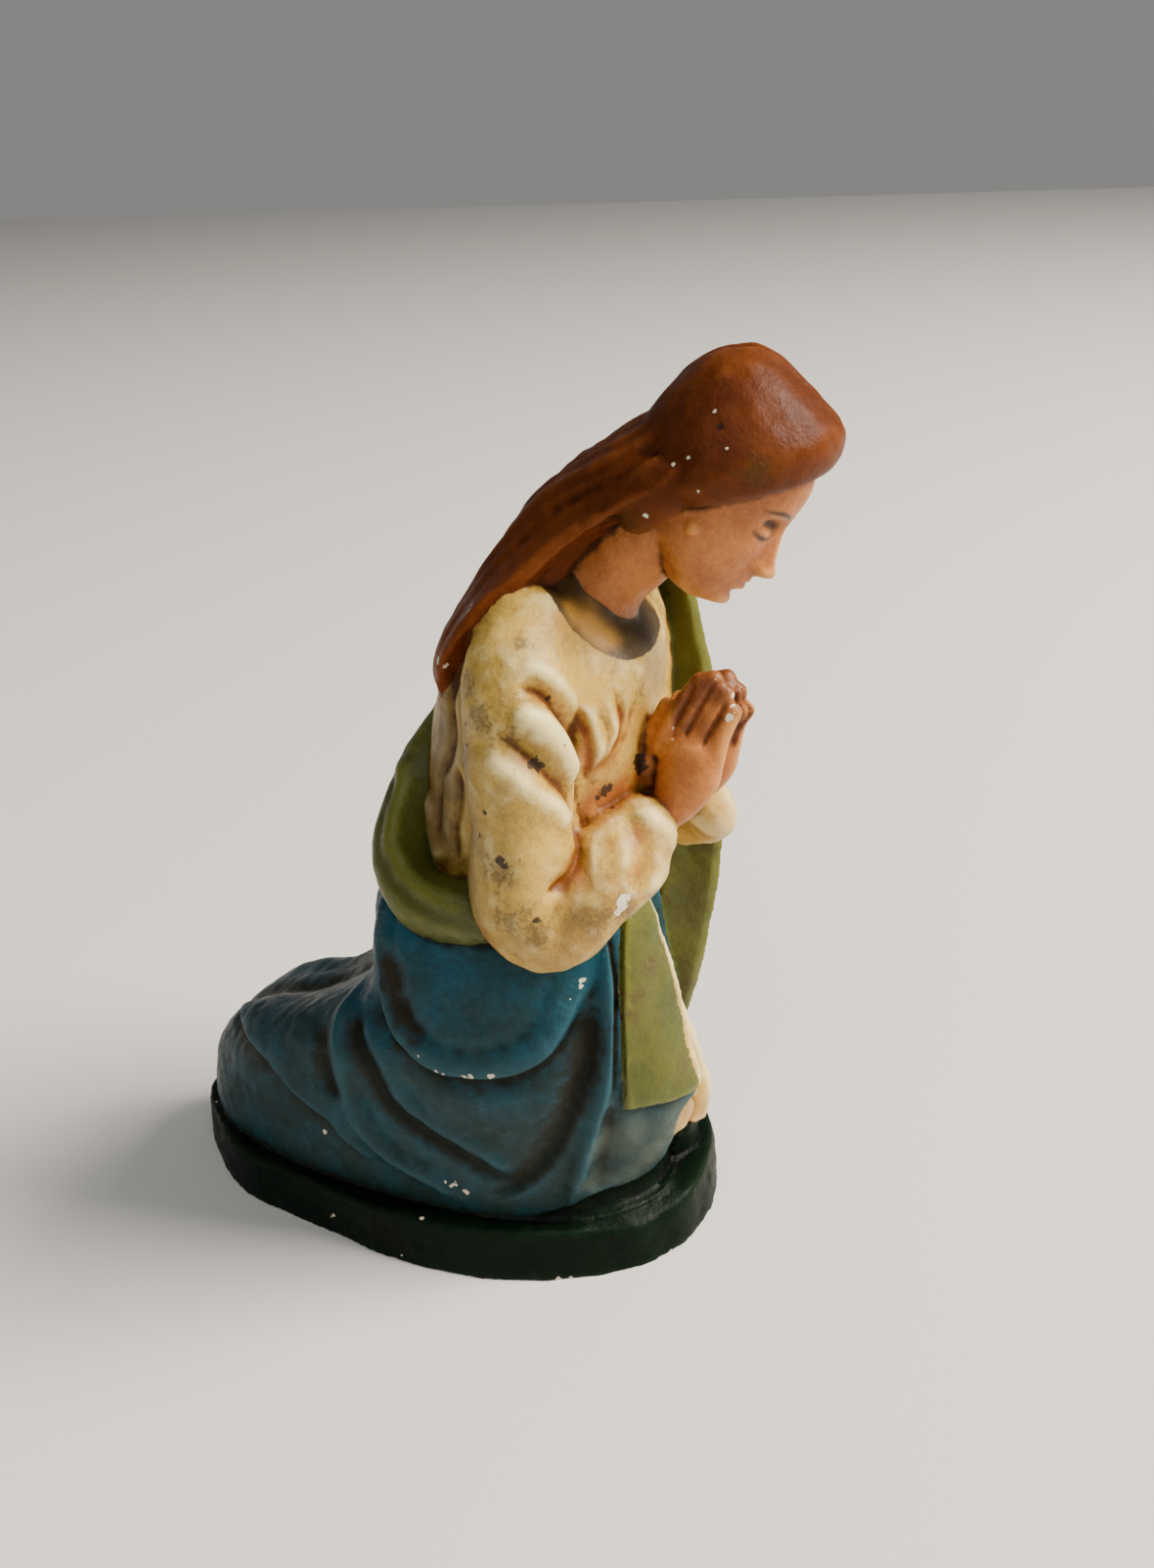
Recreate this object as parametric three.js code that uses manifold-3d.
// A kneeling figure for a nativity scene, cast in plaster in one piece with its plinth.
// Millimetres, +Z up. The figure faces -Y and its left side is +X.
// The origin is the middle of the plinth's underside.
import * as THREE from "three";
import { LoftGeometry } from "three/addons/geometries/LoftGeometry.js";
import { mergeVertices } from "three/addons/utils/BufferGeometryUtils.js";
import Module from "manifold-3d";

const wasm = await Module();
wasm.setup();

// Driving sizes.
const figureHeight = 213; // from the plinth's top to the crown of the hair
const plinthLength = 152;
const plinthWidth = 79;
const plinthHeight = 14;
const plinthDraft = 1.5; // how far the top edge stands in from the bottom edge
const standX = -3; // where the figure stands, from the plinth's middle
const standY = -1;
const hairLocks = 6; // locks round the long hair
const hairWave = 0.9; // how far the locks swing to and fro
const foldDepth = 1; // how deep the folds are cut, 1 as cast and 0 for smooth cloth

// The figure is drawn 213 units high from zero at the plinth's top, then scaled to its height.
const drawnHeight = 213;

const paint = {
  plinth: "#12301f",
  robe: "#cfc09a",
  mantle: "#2b5f73",
  lining: "#7d8143",
  hair: "#6e3a24",
  skin: "#c07f55",
};

const { cos, sin, PI, abs, sign, min, exp } = Math;
const radians = THREE.MathUtils.degToRad;
const clamp = THREE.MathUtils.clamp;
const mix = THREE.MathUtils.lerp;
const point = (x, y, z) => new THREE.Vector3(x, y, z);
const power = (value, n) => sign(value) * abs(value) ** n;
const sideways = point(1, 0, 0);

// Stations written as rows of numbers under one line of names.
function table(names, rows) {
  const keys = names.split(" ");
  return rows.map((row) => Object.fromEntries(keys.map((key, i) => [key, row[i]])));
}

// A smooth value at t from 0 to 1 through a list of numbers.
function through(values, t) {
  const last = values.length - 1;
  const at = clamp(t, 0, 1) * last;
  const i = min(Math.floor(at), last - 1);
  const f = at - i;
  const before = i > 0 ? values[i - 1] : 2 * values[0] - values[1];
  const after = i + 2 <= last ? values[i + 2] : 2 * values[last] - values[last - 1];
  const rise = (values[i + 1] - before) / 2;
  const fall = (after - values[i]) / 2;
  const a = 2 * (values[i] - values[i + 1]) + rise + fall;
  const b = 3 * (values[i + 1] - values[i]) - 2 * rise - fall;
  return ((a * f + b) * f + rise) * f + values[i];
}

// Every value of a station at t, for a list of stations with the same keys.
function stationAt(stations, t) {
  const made = {};
  for (const key of Object.keys(stations[0]))
    made[key] = through(stations.map((s) => s[key]), t);
  return made;
}

// A point of an upright ring. The angle starts at the front and grows towards the figure's left.
// A station has a centre and how far the ring reaches to the front, back, right and left.
function ringPoint(s, angle) {
  const side = power(sin(angle), s.square);
  const ahead = power(cos(angle), s.square);
  const behind = Math.max(0, -ahead);
  const y = s.y - ahead * (ahead > 0 ? s.front : s.back);
  const across = side * (side > 0 ? s.left : s.right);
  const bank = (s.bank ?? 0) * behind ** 0.5 * across;
  return point(s.x + across, y, s.z + s.pitch * (y - s.y) - bank);
}

function uprightRings(stations, around, along) {
  const rings = [];
  for (let row = 0; row <= along; row++) {
    const s = stationAt(stations, row / along);
    const ring = [];
    for (let column = 0; column < around; column++)
      ring.push(ringPoint(s, (2 * PI * column) / around));
    rings.push(ring);
  }
  return rings;
}

// Rings across a limb: each station has its centre, its half width sideways, and how far it
// reaches up and down at right angles to that. Both ends are rounded off.
function limbRings(stations, around, along, across = sideways) {
  const centre = (t) => {
    const s = stationAt(stations, t);
    return point(s.x, s.y, s.z);
  };
  const ringAt = (t, shrink, push) => {
    const s = stationAt(stations, t);
    const tangent = centre(min(t + 0.02, 1)).sub(centre(Math.max(t - 0.02, 0))).normalize();
    const wideways = across.clone().addScaledVector(tangent, -across.dot(tangent)).normalize();
    const upward = tangent.clone().cross(wideways);
    const ring = [];
    for (let column = 0; column < around; column++) {
      const angle = (2 * PI * column) / around;
      const rise = sin(angle);
      ring.push(
        point(s.x, s.y, s.z)
          .addScaledVector(tangent, push)
          .addScaledVector(wideways, shrink * s.wide * cos(angle))
          .addScaledVector(upward, shrink * rise * (rise > 0 ? s.up : s.down)),
      );
    }
    return ring;
  };
  const roundness = 0.8;
  const first = stationAt(stations, 0);
  const last = stationAt(stations, 1);
  const rings = [];
  for (const step of [72, 42])
    rings.push(ringAt(0, cos(radians(step)), -roundness * min(first.up, first.wide) * sin(radians(step))));
  for (let row = 0; row <= along; row++) rings.push(ringAt(row / along, 1, 0));
  for (const step of [42, 72])
    rings.push(ringAt(1, cos(radians(step)), roundness * min(last.up, last.wide) * sin(radians(step))));
  return rings;
}

// A line of points over the cloth, drawn as a smooth curve and measured to its nearest sample.
function foldLine(corners, height, wide) {
  const curve = new THREE.CatmullRomCurve3(corners.map(([x, y, z]) => point(x, y, z)));
  return { samples: curve.getPoints(40), height, wide };
}

// How far the folds lift a point of the cloth, each fading towards its ends.
function foldLift(p, folds) {
  let lift = 0;
  for (const { samples, height, wide } of folds) {
    let nearest = Infinity;
    let place = 0;
    samples.forEach((sample, i) => {
      const distance = sample.distanceTo(p);
      if (distance < nearest) [nearest, place] = [distance, i / 40];
    });
    const fade = min(1, place / 0.12, (1 - place) / 0.12);
    lift += height * fade * exp(-((nearest / wide) ** 2));
  }
  return lift * foldDepth;
}

// Rings with folds cut into them, along the way each point faces.
function carved(rings, folds) {
  const count = rings[0].length;
  return rings.map((ring, row) =>
    ring.map((p, column) => {
      const around = ring[(column + 1) % count].clone().sub(ring[(column + count - 1) % count]);
      const below = rings[Math.max(row - 1, 0)][column];
      const above = rings[min(row + 1, rings.length - 1)][column];
      const facing = around.cross(above.clone().sub(below)).normalize();
      return p.clone().addScaledVector(facing, foldLift(p, folds));
    }),
  );
}

// A closed solid from rings of points.
function solidOf(rings) {
  const loft = new LoftGeometry(rings, { capStart: true, capEnd: true });
  const skin = new THREE.BufferGeometry();
  skin.setAttribute("position", loft.attributes.position);
  skin.setIndex(loft.index);
  const merged = mergeVertices(skin, 1e-4);
  return new wasm.Manifold(
    new wasm.Mesh({
      numProp: 3,
      vertProperties: merged.attributes.position.array,
      triVerts: new Uint32Array(merged.index.array),
    }),
  );
}

// The mantle below the waist. It trails back over the feet and is open at the front.
const mantleStations = table("x y z front back right left pitch bank square opensLeft opensRight", [
  [3, -20, -3, 44, 90, 31, 35, 0, 0, 1, 50, 393],
  [3, -20, 6, 47, 91, 33, 36, 0, 0, 1, 49, 385],
  [3, -20, 15, 51, 89, 35, 37, 0, 0, 1, 48, 372],
  [3, -20, 25, 55, 85, 37, 38, 0, 0.05, 0.98, 46, 358],
  [3, -20, 35, 56, 77, 39, 38, -0.02, 0.1, 0.95, 44, 352],
  [2, -20, 44, 54, 64, 40, 38, -0.06, 0.2, 0.92, 44, 350],
  [1, -20, 52, 52, 45, 40, 37, -0.1, 0.24, 0.9, 44, 351],
  [0, -20, 64, 50, 28, 39, 37, -0.1, 0.1, 0.88, 44, 351],
  [0, -20, 78, 48, 25, 37, 36, -0.04, 0, 0.86, 44, 349],
  [0, -20, 90, 46, 22, 33, 34, 0, 0, 0.86, 44, 347],
  [0, -20, 98, 38, 13, 25, 27, 0, 0, 0.86, 44, 345],
]);

const mantleFolds = [
  // the bag of cloth over the right thigh, its rounded lip and the hollow under it
  foldLine(
    [
      [-29, -4, 88], [-35, -6, 67], [-38, -13, 55], [-38, -25, 51], [-37, -38, 54], [-31, -53, 70],
      [-28, -56, 80],
    ],
    2,
    4.5,
  ),
  foldLine(
    [
      [-28, 2, 66], [-37, -4, 53], [-35, -20, 31], [-32, -36, 22], [-31, -51, 38], [-28, -58, 62],
    ],
    -2.6,
    5.4,
  ),
  // the long fold swinging from the hip under it, with its hollow behind
  foldLine([[-25, 12, 58], [-34, 9, 48], [-33, 4, 28], [-30, -11, 9], [-30, -22, 5]], 2.6, 5.2),
  foldLine([[-20, 17, 56], [-34, 14, 44], [-33, 12, 30], [-31, 5, 13]], -2.2, 4.2),
  // the fold over the right heel
  foldLine([[-3, 50, 39], [-22, 38, 41], [-29, 27, 36], [-30, 15, 23], [-29, 4, 9]], 2.4, 4.8),
  foldLine([[-3, 61, 28], [-19, 50, 28], [-27, 38, 22], [-28, 27, 12]], -2, 5.0),
  // the hooked fold behind the front edge
  foldLine(
    [
      [-26, -60, 92], [-26, -60, 67], [-27, -58, 45], [-28, -50, 24], [-28, -38, 8], [-27, -33, 3],
    ],
    2,
    4.4,
  ),
  foldLine([[-29, -57, 66], [-31, -54, 48], [-32, -46, 33], [-32, -36, 19]], -2, 5),
  // quieter folds over the left leg and the feet
  foldLine([[4, 8, 92], [10, 12, 64], [16, 34, 45], [20, 56, 22], [20, 62, 6]], 2.2, 6.2),
  foldLine([[-6, 8, 90], [-4, 14, 60], [0, 34, 48], [4, 58, 33], [6, 68, 10]], -2, 5.6),
  foldLine([[26, 4, 70], [34, 10, 48], [36, 14, 28], [34, 24, 6]], 2, 6.2),
  foldLine([[20, 8, 70], [27, 20, 46], [30, 32, 26], [28, 42, 6]], -1.8, 5.6),
];

function mantleRings(around, along) {
  const rings = [];
  for (let row = 0; row <= along; row++) {
    const s = stationAt(mantleStations, row / along);
    const ring = [];
    for (let column = 0; column <= around; column++) {
      const share = column / around;
      const closer = 0.6 * (1 - (1 - share) ** 2) + 0.4 * share; // finer towards the right side
      ring.push(ringPoint(s, radians(mix(s.opensLeft, s.opensRight, closer))));
    }
    const within = { ...s, front: s.front - 9, left: s.left - 9, right: s.right - 9 };
    for (const share of [0, 0.35, 0.65, 1])
      ring.push(ringPoint(within, radians(mix(s.opensRight, s.opensLeft + 360, share))));
    rings.push(ring);
  }
  return rings;
}

// The turned-back facing at the mantle's right front edge, a flat band lying over it.
function facingRings(around, along) {
  const rings = [];
  for (let row = 0; row <= along; row++) {
    const s = stationAt(mantleStations, mix(0.4, 0.93, row / along));
    const edge = mix(317, 331, row / along);
    const lie = (out, share) => {
      const wider = { ...s, front: s.front + out, left: s.left + out, right: s.right + out };
      return ringPoint(wider, radians(mix(edge, s.opensRight, share)));
    };
    const ring = [];
    for (let column = 0; column <= around; column++) ring.push(lie(-3, 1 - column / around));
    for (let column = 0; column <= around; column++) ring.push(lie(1.8, column / around));
    rings.push(ring);
  }
  return rings;
}

// The mantle's left side: a thick flap hanging from the shoulder over the arm to the plinth.
// Each station gives its front edge, its widest place and where it meets the back. Just behind
// the front edge the flap is padded on its inside, where it fills up to the left arm.
const fallStations = table("z edgeX edgeY sideX sideY backX backY", [
  [-3, 34, -48, 39, -28, 37, 4],
  [15, 35, -56, 41, -34, 38, 2],
  [31, 35, -63, 42, -38, 38, 0],
  [58, 35, -69, 43, -42, 34, -2],
  [85, 35, -72.5, 46, -44, 28, -5],
  [103, 35, -72.5, 48, -44, 24, -10],
  [122, 35, -71, 46, -43, 20, -16],
  [140, 34.5, -68, 43, -44, 18, -23],
  [155, 33, -65, 39, -46, 17, -30],
  [165, 29, -59, 31, -48, 18, -38],
  [170, 24, -54, 24, -48, 16, -43],
]);

const fallFolds = [
  foldLine([[40, -42, 160], [48, -44, 125], [47, -42, 85], [42, -34, 30], [40, -28, 4]], 2, 5),
  foldLine([[36, -34, 150], [42, -30, 120], [42, -26, 80], [40, -20, 35], [39, -14, 4]], -2.2, 4.5),
  foldLine([[40, -62, 140], [43, -64, 105], [42, -60, 60], [38, -48, 20]], -1.6, 4.5),
  foldLine([[30, -26, 150], [37, -18, 115], [38, -12, 80], [38, -4, 40]], 2, 5),
];

function fallRings(around, along) {
  const thickness = 4;
  const padding = 10.5;
  const inside = (share, z) => {
    const level = Math.min(Math.max((158 - z) / 20, 0), 1) * Math.min(share / 0.15, (1 - share) / 0.2, 1);
    return thickness * (0.7 + share ** 2) + padding * level;
  };
  const rings = [];
  for (let row = 0; row <= along; row++) {
    const s = stationAt(fallStations, row / along);
    const plan = new THREE.QuadraticBezierCurve3(
      point(s.edgeX, s.edgeY, s.z),
      point(2 * s.sideX - (s.edgeX + s.backX) / 2, 2 * s.sideY - (s.edgeY + s.backY) / 2, s.z),
      point(s.backX, s.backY, s.z),
    );
    const side = (share, out) => {
      const run = plan.getTangent(share);
      return plan.getPoint(share).add(point(run.y, -run.x, 0).multiplyScalar(out));
    };
    const ring = [];
    for (let column = 0; column <= around; column++) ring.push(side(column / around, 0));
    for (let column = around; column >= 0; column--)
      ring.push(side(column / around, -inside(column / around, s.z)));
    rings.push(ring);
  }
  return rings;
}

// The robe under the mantle, seen at the front.
const robeFolds = [
  foldLine([[0, -64, 90], [2, -73, 50], [7, -68, 4]], -1.8, 3),
  foldLine([[7, -64, 92], [10, -72, 50], [15, -69, 4]], 1.8, 3.4),
  foldLine([[14, -62, 92], [18, -68, 50], [24, -66, 4]], -1.8, 3),
];

function robeSkirtRings(around, along) {
  const stations = table("x y z front back right left pitch square", [
    [15, -30, -3, 38, 40, 17, 19, 0, 0.95],
    [12, -30, 14, 42, 40, 20, 22, 0, 0.9],
    [8, -30, 32, 40, 38, 24, 24, 0, 0.85],
    [6, -30, 55, 33.5, 36, 27, 25, 0, 0.8],
    [1, -30, 75, 30, 32, 27, 26, 0, 0.8],
    [0, -30, 95, 28.5, 28, 27, 26, 0, 0.85],
  ]);
  return uprightRings(stations, around, along);
}

// The robe over the chest and back.
const torsoFolds = [
  foldLine([[-31, -59, 145], [-26, -63, 134], [-21, -66, 122]], -1.8, 2.6),
  foldLine([[-22, -62, 148], [-19, -65, 134], [-18, -67, 122]], 1.4, 2.8),
  foldLine([[-14, -64, 144], [-13, -66, 133], [-15, -67, 122]], -1.6, 2.6),
  foldLine([[-6, -66, 148], [-8, -67, 134], [-12, -67, 122]], 1.2, 2.8),
  foldLine([[-29, -24, 130], [-30, -20, 112], [-29, -22, 96]], 1.6, 3.4),
  foldLine([[-24, -17, 124], [-26, -15, 110], [-27, -17, 96]], -1.6, 3),
];

const torsoStations = table("x y z front back right left pitch square", [
  [0, -28, 84, 33, 25, 27, 28, 0, 0.9],
  [0, -31, 100, 36, 24, 28, 28, 0, 0.9],
  [0, -35, 118, 31, 23, 30, 29, 0, 0.9],
  [0, -39, 135, 26.5, 24, 32, 30, 0, 0.9],
  [0, -43, 149, 23, 22, 31, 30, 0.05, 0.9],
  [0, -46, 158, 14.5, 19, 26, 26, 0.1, 0.95],
  [0, -48, 167, 7, 14, 15, 15, 0.1, 1],
]);

// The cloth of the mantle across the back, from the left shoulder down to the waist.
function shawlRings() {
  const rings = [];
  for (let row = 0; row <= 12; row++) {
    const t = row / 12;
    const s = stationAt(torsoStations, t * 0.93);
    const spread = 2.5 + 3.5 * (1 - t) ** 3;
    const grown = { ...s, back: s.back + spread, left: s.left + spread + 1.5, front: s.front - 4 };
    const reach = mix(245, 118, t);
    const within = { ...grown, back: s.back - 8, left: s.left - 8, right: s.right - 8 };
    const ring = [];
    for (let column = 0; column <= 14; column++)
      ring.push(ringPoint(grown, radians(mix(62, reach, column / 14))));
    for (let column = 0; column <= 5; column++)
      ring.push(ringPoint(within, radians(mix(reach, 62, column / 5))));
    rings.push(ring);
  }
  return rings;
}

// The rolled edge of the mantle, from the left shoulder across the back to the right elbow.
function rollRings(around, along) {
  const stations = table("x y z wide up down", [
    [22, -38, 160, 3, 3, 3],
    [17, -32, 155, 4, 4, 4],
    [7, -24, 142, 5, 5, 4.5],
    [-4, -18, 129, 6, 6, 5],
    [-14, -12, 116, 7, 7, 6],
    [-23, -10, 103, 8, 7, 7],
    [-30, -15, 95, 8, 7, 7],
    [-33, -26, 93, 7.5, 7, 7],
    [-32, -40, 95, 7, 6.5, 7],
    [-27, -54, 97, 6, 6, 6],
  ]);
  return limbRings(stations, around, along, point(0, 0.35, 1));
}

const sleeveFolds = [
  foldLine([[-41, -50, 152], [-38, -56, 149], [-37, -58, 142], [-38, -58, 133]], -1.8, 2.6),
  foldLine([[-43, -50, 147], [-41, -55, 141], [-39, -57, 133]], 1.2, 2.8),
  foldLine([[-45, -46, 144], [-43, -52, 137], [-41, -56, 131], [-39, -58, 124]], -1.8, 2.6),
  foldLine([[-37, -59, 120], [-39, -58, 113], [-43, -55, 106], [-45, -52, 98]], -2, 2.8),
  foldLine([[-12, -62, 112], [-25, -68, 112], [-31, -69, 107], [-35, -68, 101]], -1.6, 2.6),
  foldLine([[-38, -34, 152], [-43, -35, 138], [-44, -35, 118], [-40, -35, 96]], -1.2, 3),
];

// A wide sleeve, from the shoulder down to the elbow and up again to the cuff.
function sleeveRings(around, along) {
  const stations = table("x y z wide up down", [
    [-22, -44, 160, 9, 10, 10],
    [-29, -44, 150, 12, 12, 11.5],
    [-33, -44, 135, 13, 11.5, 11],
    [-34, -44, 118, 13, 12, 10.5],
    [-34, -44.5, 102, 13, 12, 12.5],
    [-32, -48.5, 95.5, 13, 13, 13.5],
    [-27, -57, 101, 12, 12.5, 11.5],
    [-20, -63, 107, 10.5, 11, 11.5],
    [-16, -66.5, 111, 8, 8.5, 8.5],
  ]);
  return limbRings(stations, around, along);
}

function leftSleeveRings(around, along) {
  const stations = table("x y z wide up down", [
    [20, -47, 156, 9, 10, 10],
    [27, -48, 145, 11, 12, 13],
    [32, -47, 122, 12, 13, 14],
    [33, -47, 102, 12, 13, 13],
    [27, -57, 98, 11, 12, 12],
    [17, -68, 103, 9, 11, 13],
    [8, -74, 107.5, 6.5, 8, 10.5],
  ]);
  return limbRings(stations, around, along);
}

// A hand held upright with the fingers together, one piece for the palm and one for each finger.
function handPieces(side, forward) {
  const x = (value) => -4 + side * value;
  const palm = table("x y z wide up down", [
    [x(7.5), -68 - forward, 112, 5, 4, 4.5],
    [x(6), -72 - forward, 115, 5.5, 5.5, 5.5],
    [x(4.8), -75 - forward, 121.5, 5.5, 7, 7.5],
    [x(4.2), -75.5 - forward, 128, 4.8, 7.2, 7.2],
  ]);
  const pieces = [limbRings(palm, 10, 4)];
  const fingertips = [
    [-77.8, 144.5],
    [-80.6, 144.7],
    [-83, 141.4],
    [-84.6, 137],
  ];
  fingertips.forEach(([tipY, tipZ], finger) => {
    const y = -68.9 - 3.9 * finger;
    const z = 127.5 - 1.2 * finger;
    const bones = table("x y z wide up down", [
      [x(4.6), y - forward, z, 2.9, 2.5, 2.5],
      [x(4.1), (y + tipY) / 2 + 0.4 - forward, (z + tipZ) / 2, 2.6, 2.4, 2.4],
      [x(2.6), tipY - forward, tipZ - 1.8 - forward, 2.3, 2.2, 2.2],
    ]);
    pieces.push(limbRings(bones, 6, 3));
  });
  const thumb = table("x y z wide up down", [
    [x(3), -65 - forward, 119, 3.1, 3.1, 3.1],
    [x(3), -66.5 - forward, 128, 2.7, 2.7, 2.7],
    [x(2.2), -70 - forward, 137, 2.1, 2.1, 2.1],
  ]);
  pieces.push(limbRings(thumb, 6, 3));
  return pieces;
}

function neckRings(around, along) {
  const stations = table("x y z wide up down", [
    [0, -47, 157, 13, 13, 13],
    [0, -56, 167, 11.5, 12, 11],
    [0, -68, 178, 12, 13, 11],
  ]);
  return limbRings(stations, around, along);
}

// The head is drawn about its own middle: across, up and forward, then bowed and turned.
const headBow = 40;
const headTurn = 8;
const headSize = 0.9; // the face is drawn larger and brought down to this share
const headMiddle = point(0.5, -81.5, 186.5);
const headPose = new THREE.Matrix4()
  .makeRotationZ(radians(headTurn))
  .multiply(new THREE.Matrix4().makeRotationX(radians(headBow)))
  .setPosition(headMiddle);
const place = (across, up, forward) =>
  point(across, -forward, up).multiplyScalar(headSize).add(point(0, 0, 0.6)).applyMatrix4(headPose);

// Head rings from under the chin up to the forehead.
function headRings(around, along) {
  const stations = table("up middle front back wide", [
    [-27, 9, 4, 4, 4],
    [-24.5, 7, 11, 8, 9],
    [-19, 4, 14.5, 14, 13],
    [-12, 2, 16.5, 18, 15],
    [-4, 0, 18, 20, 16],
    [5, 0, 18.5, 20, 16.5],
    [12, -1, 17.5, 17, 15],
    [17, -3, 13, 13, 11],
    [20, -4, 7, 7, 6],
  ]);
  const rings = [];
  for (let row = 0; row <= along; row++) {
    const s = stationAt(stations, row / along);
    const ring = [];
    for (let column = 0; column < around; column++) {
      const angle = (2 * PI * column) / around;
      const ahead = cos(angle);
      const across = s.wide * sin(angle);
      const nose = 6.5 * exp(-((across / 2.6) ** 2)) * noseAt(s.up) * (ahead > 0 ? 1 : 0);
      ring.push(place(across, s.up, s.middle + ahead * (ahead > 0 ? s.front : s.back) + nose));
    }
    rings.push(ring);
  }
  return rings;
}

// How far the nose stands out at a height on the face, from its bridge down to its tip.
const noseAt = (up) => through([0, 0, 1, 0.75, 0.45, 0.15, 0, 0], (up + 16) / 24.5);

// Hair over the skull, cut off along a line from the forehead to behind the ears.
function hairCapRings(around, along) {
  const stations = table("x y z front back right left pitch square", [
    [0, -82, 184.5, 18, 17, 14.5, 14.5, -0.14, 1],
    [0, -82, 185.4, 21.5, 19.5, 18, 18, -0.14, 1],
    [0, -82, 188.5, 24, 21.5, 20.3, 20.3, -0.18, 1],
    [0, -82, 192, 23.5, 21.5, 20.5, 20.5, -0.22, 1],
    [0, -82, 199, 19.5, 18.5, 18, 18, -0.15, 1],
    [0, -83, 205.5, 14, 14, 14.5, 14.5, -0.08, 1],
    [0, -84.5, 210.5, 8.5, 8, 9.5, 9.5, 0, 1],
    [0, -85, 213, 3.5, 3.5, 4, 4, 0, 1],
  ]);
  const turn = new THREE.Matrix4().makeRotationZ(radians(headTurn));
  const middle = point(headMiddle.x, headMiddle.y, 0);
  return uprightRings(stations, around, along).map((ring) =>
    ring.map((p) => p.sub(middle).applyMatrix4(turn).add(middle)),
  );
}

// The long hair down the nape and over the back.
function hairFallRings(around, along) {
  const stations = table("x y z wide up down", [
    [0, -76, 191, 19, 14, 12],
    [0, -65, 186, 20, 7, 11.5],
    [0, -54, 178, 20.5, 4, 12.5],
    [0, -43, 168, 25, 6, 11],
    [0, -33, 159, 29, 9, 7.5],
    [0, -25.5, 149.5, 27, 9, 6],
    [0, -22, 140, 20, 7, 5.5],
    [0, -20, 131, 10, 3.5, 3.5],
  ]);
  const rings = limbRings(stations, around, along);
  return rings.map((ring, row) => {
    const middle = ring.reduce((sum, p) => sum.add(p), point(0, 0, 0)).divideScalar(around);
    return ring.map((p, column) => {
      const lock = cos((2 * PI * hairLocks * column) / around + hairWave * sin((row / along) * 9));
      return middle.clone().lerp(p, 1 + 0.07 * foldDepth * lock);
    });
  });
}

function plinthRings() {
  const outline = new THREE.CatmullRomCurve3(
    [
      [-0.04, 1],
      [-0.62, 0.71],
      [-0.83, 0.35],
      [-0.98, 0],
      [-1, -0.3],
      [-0.87, -0.6],
      [-0.57, -0.87],
      [-0.1, -1],
      [0.55, -0.97],
      [0.87, -0.8],
      [1, -0.45],
      [0.98, -0.05],
      [0.88, 0.35],
      [0.64, 0.68],
      [0.24, 0.94],
    ].map(([x, y]) => point((x * plinthWidth) / 2, (y * plinthLength) / 2, 0)),
    true,
  );
  const around = 42;
  return [
    [0, 0],
    [plinthHeight - 1.2, plinthDraft],
    [plinthHeight, plinthDraft + 1.2],
  ].map(([z, inset]) => {
    const ring = [];
    for (let column = 0; column < around; column++) {
      const p = outline.getPoint(column / around);
      const narrower = 1 - (2 * inset) / plinthWidth;
      const shorter = 1 - (2 * inset) / plinthLength;
      ring.push(point(p.x * narrower, p.y * shorter, z));
    }
    return ring;
  });
}

const inOrOut = (normal, middle) =>
  normal.x < -0.25 && middle.y < -36 ? paint.lining : paint.mantle;

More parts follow.
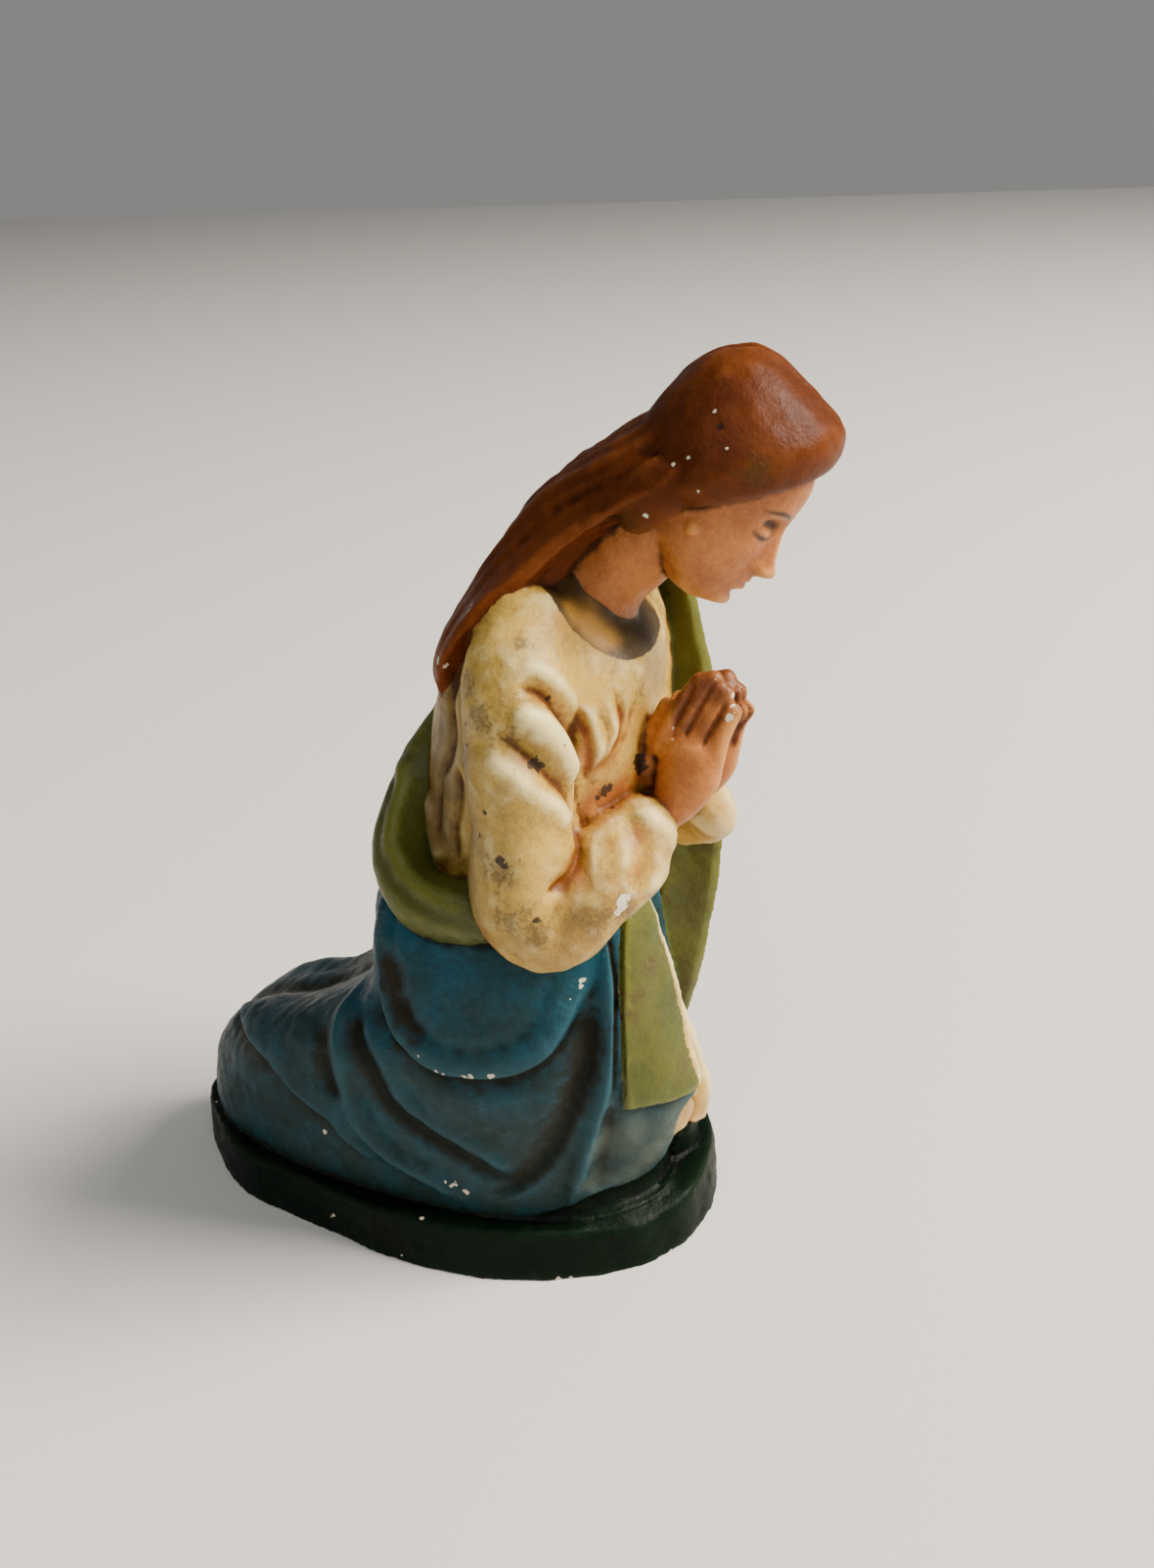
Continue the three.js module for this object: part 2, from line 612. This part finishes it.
const pieces = [
  { rings: carved(mantleRings(64, 20), mantleFolds), colour: paint.mantle },
  { rings: facingRings(4, 8), colour: paint.lining },
  { rings: carved(fallRings(9, 14), fallFolds), colour: inOrOut },
  { rings: carved(robeSkirtRings(22, 7), robeFolds), colour: paint.robe },
  { rings: carved(uprightRings(torsoStations, 28, 10), torsoFolds), colour: paint.robe },
  { rings: shawlRings(), colour: paint.mantle },
  { rings: rollRings(10, 20), colour: paint.lining },
  { rings: carved(sleeveRings(16, 18), sleeveFolds), colour: paint.robe },
  { rings: leftSleeveRings(10, 8), colour: paint.robe },
  ...handPieces(-1, 0).map((rings) => ({ rings, colour: paint.skin })),
  ...handPieces(1, 1.6).map((rings) => ({ rings, colour: paint.skin })),
  { rings: neckRings(14, 4), colour: paint.skin },
  { rings: headRings(20, 14), colour: paint.skin },
  { rings: hairCapRings(20, 9), colour: paint.hair },
  { rings: hairFallRings(24, 12), colour: paint.hair },
];

const scaleUp = figureHeight / drawnHeight;
const colourOf = new Map();
const solids = pieces.map(({ rings, colour }) => {
  const solid = solidOf(rings).scale(scaleUp).translate([standX, standY, plinthHeight]).asOriginal();
  colourOf.set(solid.originalID(), typeof colour === "string" ? () => colour : colour);
  return solid;
});
const block = solidOf(plinthRings()).asOriginal();
colourOf.set(block.originalID(), () => paint.plinth);
solids.push(block);

// One skin over all the pieces, with each triangle in the paint of the piece it came from. A
// pocket closed in between the pieces is cast solid: the skins that face inwards are left out.
function castInOne(solids) {
  const skins = wasm.Manifold.union(solids).decompose();
  const mesh = wasm.Manifold.compose(skins.filter((skin) => skin.volume() > 0)).getMesh();
  const positions = [];
  const colours = [];
  const corner = (i) => {
    const start = mesh.triVerts[i] * mesh.numProp;
    return point(...mesh.vertProperties.subarray(start, start + 3));
  };
  for (let run = 0; run < mesh.runOriginalID.length; run++) {
    const paintAt = colourOf.get(mesh.runOriginalID[run]);
    for (let i = mesh.runIndex[run]; i < mesh.runIndex[run + 1]; i += 3) {
      const face = new THREE.Triangle(corner(i), corner(i + 1), corner(i + 2));
      const facing = face.getNormal(point(0, 0, 0));
      const colour = new THREE.Color(paintAt(facing, face.getMidpoint(point(0, 0, 0))));
      for (const p of [face.a, face.b, face.c]) {
        positions.push(p.x, p.y, p.z);
        colours.push(colour.r, colour.g, colour.b);
      }
    }
  }
  const geometry = new THREE.BufferGeometry();
  geometry.setAttribute("position", new THREE.Float32BufferAttribute(positions, 3));
  geometry.setAttribute("color", new THREE.Float32BufferAttribute(colours, 3));
  geometry.computeVertexNormals();
  return geometry;
}

const figure = new THREE.Mesh(
  castInOne(solids),
  new THREE.MeshStandardMaterial({ vertexColors: true, roughness: 0.6, metalness: 0 }),
);
figure.name = "kneeling_figure";

const root = new THREE.Group();
root.add(figure);
export default root;
